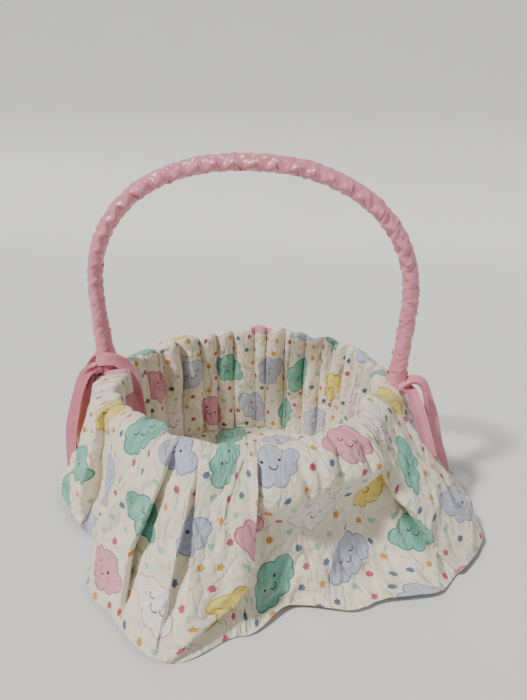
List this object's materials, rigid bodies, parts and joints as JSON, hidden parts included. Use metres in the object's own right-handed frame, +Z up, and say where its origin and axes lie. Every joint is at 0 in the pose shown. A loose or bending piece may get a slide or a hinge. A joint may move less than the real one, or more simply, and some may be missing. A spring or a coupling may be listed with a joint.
{
  "type": "flower girl basket",
  "caption": "Round wicker basket with a printed cotton liner that folds over the rim into a loose skirt, and a stiff arch handle wrapped in pink satin ribbon tied at both feet.",
  "frame": {"origin": "centre of the base board's underside, on the surface that the basket stands on", "axes": "+Z up; the handle's arch lies in the XZ plane, from -X to +X; -Y is the front"},
  "size_m": [0.5649, 0.5179, 0.4481],
  "materials": {
    "willow": "peeled and stained rods, satin",
    "printed_cotton": "plain weave cotton with a small printed pattern, matt",
    "pink_satin": "satin ribbon, glossy along the folds"
  },
  "bodies": {
    "root": {"base_board": "willow", "stake_01": "willow", "stake_02": "willow", "stake_03": "willow", "stake_04": "willow", "stake_05": "willow", "stake_06": "willow", "stake_07": "willow", "stake_08": "willow", "stake_09": "willow", "stake_10": "willow", "stake_11": "willow", "stake_12": "willow", "stake_13": "willow", "stake_14": "willow", "stake_15": "willow", "stake_16": "willow", "stake_17": "willow", "stake_18": "willow", "weaver_01": "willow", "weaver_02": "willow", "weaver_03": "willow", "weaver_04": "willow", "weaver_05": "willow", "weaver_06": "willow", "weaver_07": "willow", "weaver_08": "willow", "weaver_09": "willow", "rim_hoop_inner": "willow", "rim_hoop_outer": "willow", "handle_bow": "willow", "handle_peg_left": "willow", "handle_peg_right": "willow", "liner_floor": "printed_cotton", "liner_wall": "printed_cotton", "liner_skirt": "printed_cotton", "handle_wrap": "pink_satin", "left_tie_ribbon": "pink_satin", "left_inner_ribbon": "pink_satin", "right_tie_ribbon": "pink_satin"}
  },
  "joints": []
}
